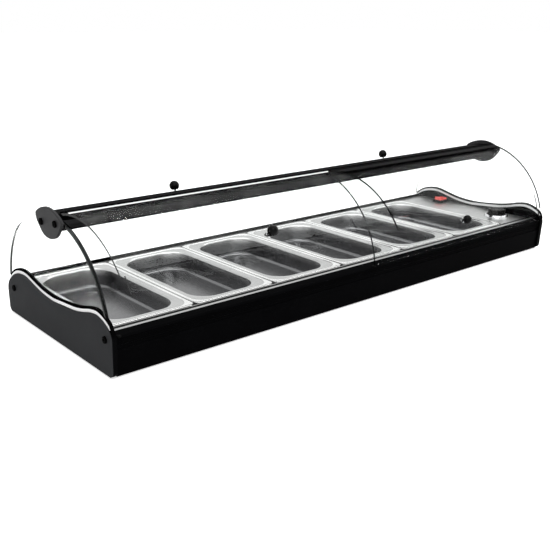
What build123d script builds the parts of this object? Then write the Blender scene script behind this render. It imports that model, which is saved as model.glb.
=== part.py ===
from build123d import *
import os
from math import asin, atan2, cos, degrees, radians, sin

# All sizes are in mm. X runs along the length, -Y is the front, Z is up.
# Food pans (gastronorm 1/3, 40 mm deep).
pan_count = 6
pan_size_x = 176.0
pan_gap = 2.0
pan_pitch = pan_size_x + pan_gap
pan_size_y = 325.0
pan_depth = 40.0
pan_rim_width = 19.0
pan_corner = 45.0
pan_rim_corner = 12.0
pan_wall = 1.0
pan_top = 76.0
pan_middle_y = -1.5

# Base: the row of pans with the control strip at its right, between two end panels.
control_strip = 100.0
panel_thickness = 10.0
base_length = pan_count * pan_pitch + control_strip + 2 * panel_thickness
body_end = base_length / 2 - panel_thickness
first_pan_x = -body_end + pan_pitch / 2
front_face_y = pan_middle_y - pan_size_y / 2 - 38.0
rear_face_y = pan_middle_y + pan_size_y / 2 + 44.0
panel_half_depth = rear_face_y + 1.5
foot_height = 3.0
foot_radius = 15.0
foot_row_y = panel_half_depth - 34.5
foot_spacing_x = body_end - 44.0

# Deck and water well.
sheet = 1.0
deck_top = 73.6
deck_rear_y = rear_face_y - 33.5
deck_lip_outer_y = front_face_y + 16.2
deck_lip_inner_y = front_face_y + 24.5
deck_lip_top = 75.5
well_ledge_x = 10.0
well_ledge_y = 8.0
well_x = (-body_end + well_ledge_x, body_end - control_strip - well_ledge_x)
well_y = (
    pan_middle_y - pan_size_y / 2 + well_ledge_y,
    pan_middle_y + pan_size_y / 2 - well_ledge_y,
)
well_corner = 19.0
well_floor = 19.0
well_flange = 8.0
bar_width = 12.0
bar_rib = 6.0
deck_under = deck_top - sheet

# Fascias and base tray.
fascia_wall = 2.4
fascia_bottom_flange = 2.0
tray_top = foot_height + fascia_bottom_flange + sheet
tray_half_y = panel_half_depth - 16.5
tray_edge_top = 18.0

# Side screens, beam and brackets.
side_sheet = 5.0
side_sheet_middle = base_length / 2 - panel_thickness / 2
slot_depth = 8.0
slot_clearance = 0.15
trim_height = 5.5
seal_height = 3.5
trim_bottom = 74.0
trim_inset = 0.3
beam_bottom = 212.0
beam_wall = 2.5
bracket_thickness = 5.0
screw_radius = 2.0
screw_hole_clearance = 0.2
screw_head_radius = 6.0
bracket_screws_yz = ((-43.0, 224.5), (11.0, 219.0))
panel_screws_yz = ((front_face_y + 15.0, 65.6), (rear_face_y - 32.0, 56.6))
port_radius = 4.0

# The end panel's S-shaped top edge from the rear to the front, as a chain of arcs: every
# second point is the middle of an arc. A point is a share of the half depth and a height.
panel_top_points = [
    (1, 44),
    (0.9772, 60),
    (0.9104, 72.5),
    (0.8039, 86.2),
    (0.678, 92.8),
    (0.586, 93.9),
    (0.4939, 91.4),
    (0.3777, 86),
    (0.2615, 81),
    (0.0242, 77),
    (-0.2324, 80),
    (-0.4068, 84.4),
    (-0.5714, 91.5),
    (-0.6683, 96.7),
    (-0.7651, 99.2),
    (-0.8717, 94.6),
    (-0.9588, 85.8),
    (-0.9908, 77),
    (-1, 64),
]

# Curved screens: the sheet's middle is an arc from the hinge axis to the foot or end, and
# the turn is the hinge axis's direction from the arc's centre.
screen_sheet = 4.0
screen_end_x = side_sheet_middle + 2.0
screen_gap = 2.0
screen_notch_x = body_end - 0.6
front_hinge = (-46.8, 239.3)
front_turn = 98.57
front_foot = (front_face_y + 0.45, 73.0)
front_notch_z = 101.0
front_raised_angle = 26.5
front_side_gap = 5.0
rear_hinge = (rear_face_y - 3.9, 49.0)
rear_turn = -1.1
rear_end = (39.1, 226.4)
rear_notch_z = 83.0
rear_side_gap = 1.5

# Hinge strips.
bead_radius = 3.5
bead_clearance = 0.08
socket_wall = 1.8
neck_thickness = 2.4
clamp_wall = 2.0
clamp_start = 7.6
clamp_end = 20.0
sheet_start = 9.6
strip_end_x = body_end - 1.0
front_socket_opening = (88.5, 213.5)
rear_socket_opening = (-36.5, 114.0)

# Knobs of the screens.
ball_radius = 9.75
ball_offset = 8.0
front_knob_x = body_end / 2 + 3.0
front_knob_angle = 161.1
rear_knob_x = body_end / 2 + 6.0
rear_knob_angle = 79.0
washer_radius = 5.5
washer_thickness = 1.5
knob_screw_radius = 2.0
knob_hole_radius = 2.5

# Screen buffers.
buffer_radius = 4.0
buffer_x = body_end - 7.0
buffer_y = front_face_y + 2.0

# Controls.
knob_centre = (body_end - 42.0, -107.0)
dial_radius = 23.0
dial_bottom = 75.4
dial_top = 91.0
bezel_radius = 29.0
bezel_inner_radius = 24.5
bezel_height = 5.0
bezel_floor = 1.2
spindle_radius = 3.0
spindle_clearance = 0.05
thermostat_size = 34.0
switch_centre = (body_end - 21.0, 87.0)
switch_size = (34.0, 28.0)
switch_hole = (27.0, 21.0)
switch_body_size = (30.0, 23.0)
switch_frame_top = 80.0
switch_pivot_z = 78.0
switch_key_height = 8.0
switch_key_reach = 12.4
switch_clearance = 0.3
switch_tilt = 9.0

# Heating element.
tube_radius = 4.0
element_run_y = 60.0
element_left_x = well_x[0] + 134.0
element_right_x = well_x[1] - 74.0
clip_count = 4
bulb_radius = 3.0
bulb_y = -18.0
bulb_x = (element_right_x - 150.0, element_right_x - 60.0)

gland_thread = 8.0
gland_centre_x = body_end - 44.0
gland_centre_z = 26.0
terminal_x = (body_end - 79.0, body_end - 19.0)

floor_under = well_floor - sheet


def pan_xs():
    return [first_pan_x + pan_pitch * i for i in range(pan_count)]


# A polygon whose face looks along +Z, whichever way round its points run.
def polygon(*points):
    shifted = points[1:] + points[:1]
    doubled_area = sum(a[0] * b[1] - b[0] * a[1] for a, b in zip(points, shifted))
    ordered = points if doubled_area > 0 else points[::-1]
    return Polygon(*ordered, align=None)


def yz_prism(face, x_from, x_to):
    return extrude(Plane.YZ.offset(x_from) * face, amount=x_to - x_from, dir=(1, 0, 0))


def on_circle(centre, radius, angle):
    return (
        centre[0] + radius * cos(radians(angle)),
        centre[1] + radius * sin(radians(angle)),
    )


def angle_from(centre, point):
    return degrees(atan2(point[1] - centre[1], point[0] - centre[0])) % 360


# The arc's radius, so that it runs through both the hinge axis and the sheet's end.
def screen_radius(hinge, turn, end):
    across = end[0] - hinge[0]
    down = end[1] - hinge[1]
    inward = across * cos(radians(turn)) + down * sin(radians(turn))
    return -(across**2 + down**2) / (2 * inward)


front_radius = screen_radius(front_hinge, front_turn, front_foot)
rear_radius = screen_radius(rear_hinge, rear_turn, rear_end)
front_centre = on_circle(front_hinge, -front_radius, front_turn)
rear_centre = on_circle(rear_hinge, -rear_radius, rear_turn)


def arc_band(centre, inner, outer, start, end):
    return make_face(
        [
            CenterArc(centre, outer, start, end - start),
            Line(on_circle(centre, outer, end), on_circle(centre, inner, end)),
            CenterArc(centre, inner, start, end - start),
            Line(on_circle(centre, inner, start), on_circle(centre, outer, start)),
        ]
    )


def x_cylinder(y, z, radius, x_from, x_to):
    return yz_prism(Pos(y, z) * Circle(radius), x_from, x_to)


def z_cylinder(x, y, radius, z_from, z_to):
    return extrude(Plane.XY.offset(z_from) * Pos(x, y) * Circle(radius), amount=z_to - z_from)


def block(x_span, y_span, z_span):
    middle = [(a + b) / 2 for a, b in (x_span, y_span, z_span)]
    return Pos(*middle) * Box(*[b - a for a, b in (x_span, y_span, z_span)])


def rounded_prism(x_span, y_span, corner, z_from, z_to):
    middle = Pos((x_span[0] + x_span[1]) / 2, (y_span[0] + y_span[1]) / 2)
    outline = RectangleRounded(x_span[1] - x_span[0], y_span[1] - y_span[0], corner)
    return extrude(Plane.XY.offset(z_from) * middle * outline, amount=z_to - z_from)


def mirrored(shape):
    return mirror(shape, about=Plane.YZ)


# The end panel's side outline: an S-shaped top edge on a flat foot.
def panel_outline():
    points = [(share * panel_half_depth, z) for share, z in panel_top_points]
    waves = [ThreePointArc(*points[i : i + 3]) for i in range(0, len(points) - 2, 2)]
    front_corner = (3.5 - panel_half_depth, foot_height)
    rear_corner = (panel_half_depth, foot_height)
    lower = Polyline(points[-1], front_corner, rear_corner, points[0])
    outline = make_face([*waves, lower])
    bottom_corners = outline.vertices().group_by(Axis.Y)[0]
    return fillet(bottom_corners, 10)


def side_screen_outline(grown=0.0):
    radius_front = front_radius - screen_sheet / 2 - front_side_gap
    radius_rear = rear_radius - screen_sheet / 2 - rear_side_gap
    low = 60.0
    front_low = 180 - degrees(asin((low - front_centre[1]) / radius_front))
    rear_low = degrees(asin((low - rear_centre[1]) / radius_rear))
    rear_top = 86.0
    dome = make_face(
        [
            CenterArc(front_centre, radius_front, 90, front_low - 90),
            Line(
                on_circle(front_centre, radius_front, front_low),
                on_circle(rear_centre, radius_rear, rear_low),
            ),
            CenterArc(rear_centre, radius_rear, rear_low, rear_top - rear_low),
            Line(
                on_circle(rear_centre, radius_rear, rear_top),
                on_circle(front_centre, radius_front, 90),
            ),
        ]
    )
    sunk = Pos(0, -slot_depth - grown) * panel_outline()
    return (offset(dome, grown) if grown else dome) - sunk


def side_screen():
    outline = side_screen_outline()
    for y, z in bracket_screws_yz:
        outline -= Pos(y, z) * Circle(screw_radius + screw_hole_clearance)
    return yz_prism(outline, side_sheet_middle - side_sheet / 2, side_sheet_middle + side_sheet / 2)


def screen_slot():
    half = side_sheet / 2 + slot_clearance
    return yz_prism(
        side_screen_outline(slot_clearance), side_sheet_middle - half, side_sheet_middle + half
    )


def panel_block(rise, inset=0.0):
    face = Pos(0, rise) * panel_outline()
    return yz_prism(face, body_end + inset, base_length / 2 - inset)


def end_panel():
    panel = panel_block(0)
    pockets = Sketch()
    for share in (-0.8, -0.533, -0.266, 0, 0.266, 0.533, 0.8):
        pockets += Pos(share * panel_half_depth, 34) * RectangleRounded(48, 36, 4)
    panel -= yz_prism(pockets, body_end, body_end + 7)
    for y, z in panel_screws_yz:
        panel -= x_cylinder(y, z, screw_radius, body_end, base_length / 2)
    return panel - screen_slot()


def end_trim():
    strip = panel_block(trim_height, trim_inset) - panel_block(0)
    strip &= block((body_end, base_length / 2), (-300, 300), (trim_bottom, 200))
    return biggest(strip - screen_slot())


def glass_seal():
    strip = panel_block(trim_height + seal_height, 2 * trim_inset) - panel_block(trim_height)
    strip &= block((body_end, base_length / 2), (-300, 300), (trim_bottom + trim_height, 200))
    return biggest(strip - screen_slot())


def biggest(shape):
    return shape.solids().sort_by(SortBy.VOLUME)[-1]


def front_fascia():
    face = front_face_y
    ridge_points = []
    for i in range(4):
        z = 68.0 - 2.6 * i
        ridge_points += [
            (face, z),
            (face + 0.8, z - 0.6),
            (face + 0.8, z - 1.2),
            (face, z - 1.8),
        ]
    points = [(face + 16, 76), (face + 2.5, 71.4), (face, 69)]
    points += ridge_points
    points += [
        (face, 57),
        (face + 1.8, 56),
        (face + 1.8, 50.5),
        (face, 49.5),
        (face + 3.5, foot_height),
        (face + 47, foot_height),
        (face + 47, foot_height + fascia_bottom_flange),
        (face + 5.9, foot_height + fascia_bottom_flange),
        (face + 2.8, 47),
        (face + 4.2, 49),
        (face + 4.2, 57.6),
        (face + 2.8, 59),
        (face + 2.8, 67.6),
        (face + 4.4, 69.4),
        (face + 13.6, 72.5),
        (face + 13.6, 70.1),
        (face + 32, 70.1),
        (face + 32, deck_under),
        (face + 16, deck_under),
    ]
    return yz_prism(polygon(*points), -body_end, body_end)


def rear_fascia():
    hinge_y, hinge_z = rear_hinge
    rail = deck_rear_y + 0.5
    points = [
        (rail, 79),
        (rail + 4, 79),
        (rail + 4, 71.8),
        (hinge_y - 5.9, 66.4),
        (hinge_y - 5.9, hinge_z),
        (hinge_y, hinge_z),
        (hinge_y, hinge_z - 4.5),
        (rear_face_y, hinge_z - 4.5),
        (rear_face_y, foot_height),
        (rear_face_y - 50, foot_height),
        (rear_face_y - 50, foot_height + fascia_bottom_flange),
        (rear_face_y - fascia_wall, foot_height + fascia_bottom_flange),
        (rear_face_y - fascia_wall, hinge_z - 7),
        (hinge_y - 5, hinge_z - 7),
        (hinge_y - 7.9, hinge_z - 4),
        (hinge_y - 7.9, 64.8),
        (rail + 2.3, 70.1),
        (rail - 8, 70.1),
        (rail - 8, deck_under),
        (rail, deck_under),
    ]
    outline = polygon(*points) + hinge_socket(rear_hinge, rear_socket_opening)
    outline -= Pos(*rear_hinge) * Circle(bead_radius + bead_clearance)
    fascia = yz_prism(outline, -body_end, body_end)
    hole = Pos(*gland_place()) * Rot(-90, 0, 0) * Cylinder(gland_thread + 0.2, 12)
    return fascia - hole


# The C-shaped lip that a hinge strip's bead turns in.
def hinge_socket(axis, opening):
    bore = bead_radius + bead_clearance
    return arc_band(axis, bore, bore + socket_wall, opening[1], opening[0] + 360)


def steel_deck():
    points = [
        (deck_rear_y, deck_under),
        (deck_rear_y, deck_top),
        (deck_lip_inner_y, deck_top),
        (deck_lip_inner_y, deck_lip_top),
        (deck_lip_outer_y, deck_lip_top),
        (deck_lip_outer_y, deck_lip_top - sheet),
        (deck_lip_inner_y - sheet, deck_lip_top - sheet),
        (deck_lip_inner_y - sheet, deck_under),
    ]
    deck = yz_prism(polygon(*points), -body_end, body_end)
    deck -= rounded_prism(well_x, well_y, well_corner, deck_under - 1, deck_top + 1)
    deck -= z_cylinder(*knob_centre, 6, deck_under - 1, deck_top + 1)
    width, depth = [size + 0.4 for size in switch_body_size]
    deck -= Pos(*switch_centre, deck_under) * Box(width, depth, 6)
    return deck


def water_well():
    x_outer = (well_x[0] - sheet, well_x[1] + sheet)
    y_outer = (well_y[0] - sheet, well_y[1] + sheet)
    x_flange = (well_x[0] - well_flange, well_x[1] + well_flange)
    y_flange = (well_y[0] - well_flange, well_y[1] + well_flange)
    tank = rounded_prism(x_outer, y_outer, well_corner + sheet, floor_under, deck_under)
    flange = rounded_prism(x_flange, y_flange, well_corner + well_flange, deck_under - sheet, deck_under)
    hollow = rounded_prism(well_x, well_y, well_corner, well_floor, deck_top)
    return tank + flange - hollow


# Each bar is welded between the well's long walls, under a joint of two pans.
def pan_bars():
    bars = []
    half = bar_width / 2
    for x in pan_xs()[:-1]:
        joint = x + pan_pitch / 2
        top = block((joint - half, joint + half), well_y, (deck_top - sheet, deck_top))
        web = block((joint - half, joint - half + sheet), well_y, (deck_top - bar_rib, deck_top))
        other = block((joint + half - sheet, joint + half), well_y, (deck_top - bar_rib, deck_top))
        bars.append(top + web + other)
    return bars


def food_pan():
    half_x = pan_size_x / 2
    half_y = pan_size_y / 2
    flange = rounded_prism((-half_x, half_x), (-half_y, half_y), pan_rim_corner, deck_top, pan_top)
    flange = fillet(flange.faces().sort_by(Axis.Z)[-1].edges(), 0.9)
    under = rounded_prism(
        (-half_x + pan_wall, half_x - pan_wall),
        (-half_y + pan_wall, half_y - pan_wall),
        pan_rim_corner - pan_wall,
        deck_top,
        pan_top - pan_wall,
    )
    opening_x = pan_size_x - 2 * pan_rim_width
    opening_y = pan_size_y - 2 * pan_rim_width
    outer = RectangleRounded(opening_x + 2 * pan_wall, opening_y + 2 * pan_wall, pan_corner + pan_wall)
    inner = RectangleRounded(opening_x, opening_y, pan_corner)
    top = Plane.XY.offset(pan_top)
    body = extrude(top * outer, amount=-pan_depth, taper=4)
    body = fillet(body.faces().sort_by(Axis.Z)[0].edges(), 7)
    hollow = extrude(top * inner, amount=-(pan_depth - pan_wall), taper=4)
    hollow = fillet(hollow.faces().sort_by(Axis.Z)[0].edges(), 6)
    return Pos(0, pan_middle_y) * (flange - under + body - hollow)


def base_tray():
    floor_z = (tray_top - sheet, tray_top)
    tray = block((-body_end + 0.5, body_end - 0.5), (-tray_half_y, tray_half_y), floor_z)
    for side in (-1, 1):
        edge = sorted((side * tray_half_y, side * (tray_half_y - sheet)))
        tray += block((-body_end + 0.5, body_end - 0.5), edge, (tray_top - sheet, tray_edge_top))
    slots = Sketch()
    for share in (-0.72, -0.24, 0.24, 0.72):
        for y in (-84, -56, -28, 28, 56, 84):
            slots += Pos(share * body_end, y) * SlotOverall(80, 8)
    return tray - extrude(Plane.XY.offset(tray_top - 2) * slots, amount=3)


def rubber_feet():
    feet = []
    for x in (-foot_spacing_x, 0, foot_spacing_x):
        for y in (-foot_row_y, foot_row_y):
            foot = z_cylinder(x, y, foot_radius, 0, foot_height)
            foot = chamfer(foot.edges().sort_by(Axis.Z)[0], 0.8)
            feet.append(foot - z_cylinder(x, y, 5, 0, 1.6))
    return feet


def beam():
    outer = polygon(
        (-51, 216),
        (-51, 229.5),
        (-49.6, 230.3),
        (-49.6, 232),
        (-51, 232.8),
        (-51, 233.6),
        (-43, 236.5),
        (-42, 239),
        (-4, 239),
        (26, 228),
        (32, 225),
        (32, 214),
        (30, beam_bottom),
        (-47, beam_bottom),
    )
    inner = polygon(
        (-48.5, 217),
        (-48.5, 228.2),
        (-47, 229.2),
        (-47, 231.4),
        (-38.5, 233.6),
        (-38.5, 236.5),
        (-4.4, 236.5),
        (25, 225.7),
        (29.5, 223.4),
        (29.5, 215.1),
        (28.9, beam_bottom + beam_wall),
        (-46, beam_bottom + beam_wall),
    )
    outline = outer - inner + hinge_socket(front_hinge, front_socket_opening)
    (front_y, front_z), (rear_y, rear_z) = bracket_screws_yz
    outline += Pos(front_y, front_z) * Circle(port_radius)
    outline += Pos(front_y - 4, front_z) * Rectangle(8, 2.4)
    outline += Pos(rear_y, rear_z) * Circle(port_radius)
    outline += Pos(rear_y, rear_z - 3.5) * Rectangle(2.4, 7)
    for y, z in bracket_screws_yz:
        outline -= Pos(y, z) * Circle(screw_radius + 0.05)
    outline -= Pos(*front_hinge) * Circle(bead_radius + bead_clearance)
    end = side_sheet_middle - side_sheet / 2
    return yz_prism(outline, -end, end)


def beam_bracket():
    top = ThreePointArc((35, 232), (-15, 247.5), (-66, 231))
    lower = Spline(
        (-66, 231),
        (-58, 217),
        (-45, 203.5),
        (-26, 195),
        (-6, 193.5),
        (12, 199),
        (28, 214),
        (35, 232),
        tangents=[(0.25, -1), (0.1, 1)],
    )
    outline = fillet(make_face([top, lower]).vertices(), 5)
    for y, z in bracket_screws_yz:
        outline -= Pos(y, z) * Circle(screw_radius + screw_hole_clearance)
    start = side_sheet_middle + side_sheet / 2
    plate = yz_prism(outline, start, start + bracket_thickness)
    outer_face = plate.faces().sort_by(Axis.X)[-1]
    return fillet(outer_face.outer_wire().edges(), 1.5)


# A pan-head screw along +X with its head's seat at x = 0.
def socket_screw(length):
    head = Pos(1.5, 0, 0) * Rot(0, 90, 0) * Cylinder(screw_head_radius, 3)
    head = fillet(head.edges().sort_by(Axis.X)[-1], 1)
    shank = Pos(-length / 2, 0, 0) * Rot(0, 90, 0) * Cylinder(screw_radius, length)
    drive = Pos(1.6, 0, 0) * Rot(0, 90, 0) * extrude(RegularPolygon(2.2, 6), amount=2)
    return head + shank - drive


def bracket_screws():
    seat = side_sheet_middle + side_sheet / 2 + bracket_thickness
    right = [Pos(seat, y, z) * socket_screw(28) for y, z in bracket_screws_yz]
    return right + [mirrored(screw) for screw in right]


def end_panel_screws():
    right = [Pos(base_length / 2, y, z) * socket_screw(9.8) for y, z in panel_screws_yz]
    return right + [mirrored(screw) for screw in right]


def along(radius, distance):
    return degrees(distance / radius)


# A bead on the hinge axis, a neck, and a clamp that follows the sheet's arc.
def hinge_strip(centre, radius, axis, turn):
    tangent = turn + 90
    outline = Pos(*axis) * Circle(bead_radius)
    outline += Pos(*on_circle(axis, 5.6, tangent)) * Rot(0, 0, tangent) * Rectangle(6, neck_thickness)
    half = screen_sheet / 2 + clamp_wall
    angles = [turn + along(radius, distance) for distance in (clamp_start, clamp_end)]
    outline += arc_band(centre, radius - half, radius + half, *angles)
    angles = [turn + along(radius, distance) for distance in (sheet_start, clamp_end + 1)]
    outline -= arc_band(centre, radius - screen_sheet / 2, radius + screen_sheet / 2, *angles)
    return yz_prism(outline, screen_gap / 2 + 0.5, strip_end_x)


def front_strip():
    return hinge_strip(front_centre, front_radius, front_hinge, front_turn)


def rear_strip():
    return hinge_strip(rear_centre, rear_radius, rear_hinge, rear_turn)


def knob_hole(centre, radius, angle, x):
    y, z = on_circle(centre, radius, angle)
    return Pos(x, y, z) * Rot(angle, 0, 0) * Rot(-90, 0, 0) * Cylinder(knob_hole_radius, 20)


def front_pane():
    start = front_turn + along(front_radius, sheet_start)
    half = screen_sheet / 2
    end = angle_from(front_centre, front_foot) + 3
    band = arc_band(front_centre, front_radius - half, front_radius + half, start, end)
    pane = yz_prism(band, screen_gap / 2, screen_end_x)
    pane -= block((0, screen_end_x + 1), (2 * front_face_y, 0), (0, front_foot[1]))
    pane -= block((screen_notch_x, screen_end_x + 1), (2 * front_face_y, 0), (0, front_notch_z))
    return pane - knob_hole(front_centre, front_radius, front_knob_angle, front_knob_x)


def rear_pane():
    start = rear_turn + along(rear_radius, sheet_start)
    half = screen_sheet / 2
    end = angle_from(rear_centre, rear_end)
    band = arc_band(rear_centre, rear_radius - half, rear_radius + half, start, end)
    pane = yz_prism(band, screen_gap / 2, screen_end_x)
    pane -= block((screen_notch_x, screen_end_x + 1), (0, 2 * rear_face_y), (0, rear_notch_z))
    return pane - knob_hole(rear_centre, rear_radius, rear_knob_angle, rear_knob_x)


# The ball knob is made on +Z with the sheet's middle at z = 0, then turned onto the sheet.
# Its ball is cut flat where it sits on the sheet.
def ball_knob():
    surface = screen_sheet / 2
    ball = Pos(0, 0, surface + ball_offset) * Sphere(ball_radius)
    ball -= z_cylinder(0, 0, ball_radius + 1, surface - ball_radius, surface + 0.1)
    return ball - z_cylinder(0, 0, knob_screw_radius, 0, surface + 8)


def knob_screw():
    inside = -screen_sheet / 2 - 0.1
    washer = z_cylinder(0, 0, washer_radius, inside - washer_thickness, inside)
    head = z_cylinder(0, 0, 3.6, inside - washer_thickness - 2.4, inside - washer_thickness)
    head = fillet(head.edges().sort_by(Axis.Z)[0], 1)
    shank = z_cylinder(0, 0, knob_screw_radius, inside - washer_thickness, screen_sheet / 2 + 7.5)
    return washer + head + shank


def onto_sheet(shape, centre, radius, angle, x):
    y, z = on_circle(centre, radius, angle)
    return Pos(x, y, z) * Rot(angle - 90, 0, 0) * shape


def screen_buffers():
    slope = (76 - 71.4) / 13.5
    ridge_y = front_face_y + 16
    outer_y = buffer_y - buffer_radius
    inner_y = front_face_y + 7
    base = [(y, 76 + (y - ridge_y) * slope) for y in (outer_y, inner_y)]
    keep = polygon(*base, (inner_y, 100), (outer_y, 100))
    buffers = []
    for x in (-buffer_x, 0, buffer_x):
        post = z_cylinder(x, buffer_y, buffer_radius, 60, front_foot[1] - 0.05)
        post = fillet(post.edges().sort_by(Axis.Z)[-1], 0.8)
        buffers.append(post & yz_prism(keep, -body_end, body_end))
    return buffers


def thermostat_body():
    x, y = knob_centre
    half = thermostat_size / 2
    case = block((x - half, x + half), (y - half, y + half), (38, 70))
    plate = block((x - half - 6, x + half + 6), (y - 12, y + 12), (70, deck_under))
    bore = z_cylinder(x, y, spindle_radius + spindle_clearance, 52, deck_under)
    return case + plate - bore


def thermostat_spindle():
    return z_cylinder(*knob_centre, spindle_radius, 52.5, dial_top - 4)


def knob_bezel():
    low = deck_top
    profile = polygon(
        (8, low),
        (bezel_radius, low),
        (bezel_radius, low + 1),
        (bezel_radius - 2, low + bezel_height - 0.8),
        (bezel_radius - 3, low + bezel_height),
        (bezel_inner_radius, low + bezel_height),
        (bezel_inner_radius, low + bezel_floor),
        (8, low + bezel_floor),
    )
    return Pos(*knob_centre) * revolve(Plane.XZ * profile, Axis.Z)


def thermostat_knob():
    low = dial_bottom
    high = dial_top
    profile = polygon(
        (0, low),
        (dial_radius, low),
        (dial_radius, low + 2.5),
        (dial_radius - 2.2, low + 4),
        (dial_radius - 3.2, high - 1.2),
        (dial_radius - 4.4, high),
        (0, high),
    )
    knob = revolve(Plane.XZ * profile, Axis.Z)
    grips = Sketch()
    for angle in range(0, 360, 15):
        grips += Rot(0, 0, angle) * Pos(dial_radius - 1.6, 0) * Circle(0.9)
    knob -= extrude(Plane.XY.offset(low + 4) * grips, amount=high - low)
    knob -= z_cylinder(0, 0, spindle_radius, low, high - 4)
    knob -= block((-1, 1), (dial_radius - 12, dial_radius - 5.5), (high - 0.8, high + 1))
    return Pos(*knob_centre) * knob


def rocker_body():
    x, y = switch_centre
    frame_x, frame_y = [size / 2 for size in switch_size]
    hole_x, hole_y = [size / 2 for size in switch_hole]
    case_x, case_y = [size / 2 for size in switch_body_size]
    frame = rounded_prism((x - frame_x, x + frame_x), (y - frame_y, y + frame_y), 3, deck_top, switch_frame_top)
    frame = fillet(frame.faces().sort_by(Axis.Z)[-1].edges(), 1.5)
    case = block((x - case_x, x + case_x), (y - case_y, y + case_y), (48, deck_top))
    hollow = block((x - hole_x, x + hole_x), (y - hole_y, y + hole_y), (62, switch_frame_top))
    return frame + case - hollow


# Below its pivot the key's ends are arcs, so it tilts in the frame without touching it.
def rocker_key():
    reach = switch_key_reach
    high = switch_key_height
    width = switch_hole[1] - 2 * switch_clearance
    barrel = Rot(90, 0, 0) * Cylinder(reach, width)
    outline = polygon((-reach, high), (0, high - 2.2), (reach, high), (reach, 0), (-reach, 0))
    cap = extrude(Plane.XZ * outline, amount=width / 2, both=True)
    cap = fillet(cap.faces().filter_by(Axis.Y).edges().filter_by_position(Axis.Z, 1, high), 0.8)
    barrel &= Pos(0, 0, -3) * Box(2 * reach, width, 6)
    return Pos(*switch_centre, switch_pivot_z) * Rot(0, switch_tilt, 0) * (barrel + cap)


def terminal_block():
    bar = block(terminal_x, (20, 42), (tray_top, tray_top + 14))
    for i in range(5):
        x = terminal_x[0] + 6 + 12 * i
        bar += block((x - 4.5, x + 4.5), (24, 38), (tray_top + 14, tray_top + 19))
        bar -= z_cylinder(x, 31, 2.5, tray_top + 15, tray_top + 20)
    return bar


def gland_place():
    return (gland_centre_x, rear_face_y - fascia_wall / 2, gland_centre_z)


def cable_gland():
    wall = fascia_wall / 2
    profile = polygon(
        (4.5, -wall - 6),
        (gland_thread, -wall - 6),
        (gland_thread, wall),
        (12, wall),
        (12, wall + 5),
        (10.5, wall + 6),
        (10.5, wall + 13),
        (8.5, wall + 16),
        (4.5, wall + 16),
    )
    gland = revolve(Plane.XZ * profile, Axis.Z)
    nut = extrude(Plane.XY.offset(-wall) * (RegularPolygon(12, 6) - Circle(4.5)), amount=-4)
    return Pos(*gland_place()) * Rot(-90, 0, 0) * (gland + nut)


def heating_element():
    z = floor_under - tube_radius - 0.02
    path = Wire(
        [
            Edge.make_line((element_right_x, element_run_y, z), (element_left_x, element_run_y, z)),
            Edge.make_three_point_arc(
                (element_left_x, element_run_y, z),
                (element_left_x - element_run_y, 0, z),
                (element_left_x, -element_run_y, z),
            ),
            Edge.make_line((element_left_x, -element_run_y, z), (element_right_x, -element_run_y, z)),
        ]
    )
    start = Plane(path @ 0, x_dir=(0, 1, 0), z_dir=(-1, 0, 0))
    tube = sweep(start * Circle(tube_radius), path)
    for y in (-element_run_y, element_run_y):
        tube += Pos(element_right_x + 9, y, z) * Rot(0, 90, 0) * Cylinder(1.6, 20)
    return tube


# A strap of sheet, bent around the tube and spot-welded to the well's floor.
def strap(y, radius, x, length):
    top = floor_under
    low = top - 2 * radius - 0.04
    points = [
        (y - radius - 9, top),
        (y - radius, top),
        (y - radius, low),
        (y + radius, low),
        (y + radius, top),
        (y + radius + 9, top),
        (y + radius + 9, top - sheet),
        (y + radius + sheet, top - sheet),
        (y + radius + sheet, low - sheet),
        (y - radius - sheet, low - sheet),
        (y - radius - sheet, top - sheet),
        (y - radius - 9, top - sheet),
    ]
    return yz_prism(polygon(*points), x - length / 2, x + length / 2)


def element_clips():
    straps = []
    step = (element_right_x - element_left_x - 60) / (clip_count - 1)
    for x in [element_left_x + 40 + step * i for i in range(clip_count)]:
        for y in (-element_run_y, element_run_y):
            straps.append(strap(y, tube_radius, x, 14))
    straps.append(strap(bulb_y, bulb_radius, sum(bulb_x) / 2, 20))
    return straps


def sensing_bulb():
    z = floor_under - bulb_radius - 0.02
    bulb = Pos(sum(bulb_x) / 2, bulb_y, z) * Rot(0, 90, 0) * Cylinder(bulb_radius, bulb_x[1] - bulb_x[0])
    bulb = fillet(bulb.edges(), 1)
    start = (bulb_x[1] - 2, bulb_y, z)
    turn_y = knob_centre[1] + 8
    path = FilletPolyline(
        start, (knob_centre[0], bulb_y, z), (knob_centre[0], turn_y, z), (knob_centre[0], turn_y, 38), radius=12
    )
    line = sweep(Plane(start, x_dir=(0, 1, 0), z_dir=(1, 0, 0)) * Circle(0.9), path)
    return bulb + line


def raise_front(shape):
    axis = Axis((0, *front_hinge), (1, 0, 0))
    return shape.rotate(axis, -front_raised_angle)


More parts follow.
